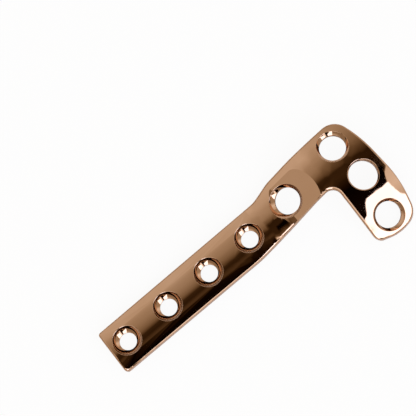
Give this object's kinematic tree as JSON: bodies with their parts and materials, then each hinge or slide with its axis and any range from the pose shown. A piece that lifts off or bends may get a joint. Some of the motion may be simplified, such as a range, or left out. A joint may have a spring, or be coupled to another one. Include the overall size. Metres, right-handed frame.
{
  "type": "orthopedic bone plate",
  "caption": "L-shaped buttress bone plate with a straight shaft, a raised neck and a hooked head with ball-cut screw holes, in polished bronze-coloured titanium",
  "frame": {"origin": "on the axis of the free end's hole, at the underside of the shaft", "axes": "+X along the shaft to the head, +Z out of the outer face, foot of the L to -Y"},
  "size_m": [0.1003, 0.0385, 0.0102],
  "materials": {
    "anodised_titanium": "mirror-polished titanium alloy with a bronze anodised film"
  },
  "bodies": {
    "root": {"l_buttress_plate": "anodised_titanium"}
  },
  "joints": []
}
